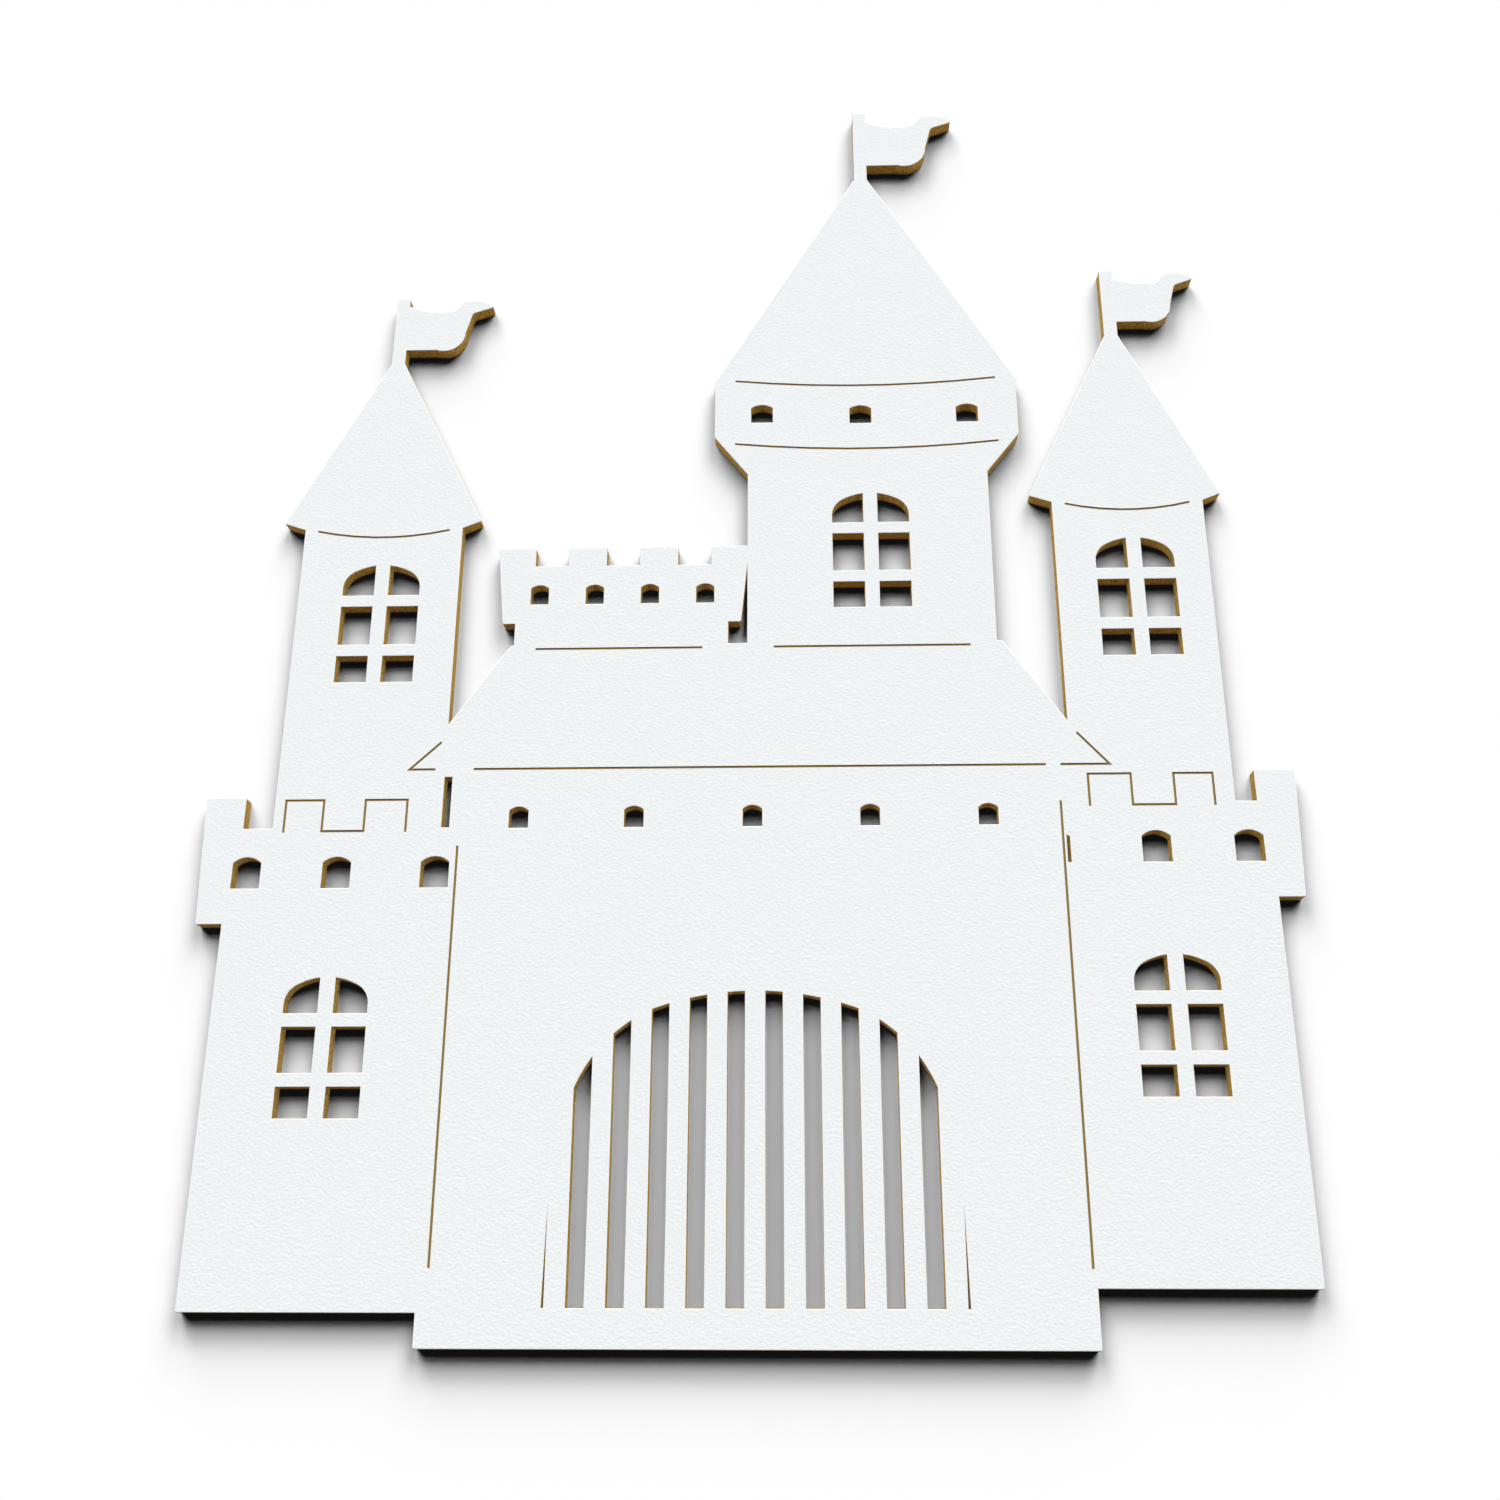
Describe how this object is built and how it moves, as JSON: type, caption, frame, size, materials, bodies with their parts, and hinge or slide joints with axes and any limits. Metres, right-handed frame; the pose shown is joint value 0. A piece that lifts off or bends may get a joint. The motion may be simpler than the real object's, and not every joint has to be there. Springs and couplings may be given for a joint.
{
  "type": "cardboard castle cutout",
  "caption": "Flat castle cut from one sheet of white-faced card, with towers, spires, flags, paned windows and a barred gate, for crafts and decoration.",
  "frame": {"origin": "middle of the sheet's outline, on the back face that it lies on", "axes": "+X to the right along the front wall, +Y up the castle to the tallest flag, +Z out of the white face"},
  "size_m": [0.1162, 0.1448, 0.0015],
  "materials": {
    "card": "matt white paper face, brown cut edges and engraved lines"
  },
  "bodies": {
    "root": {"castle_board": "card"}
  },
  "joints": []
}
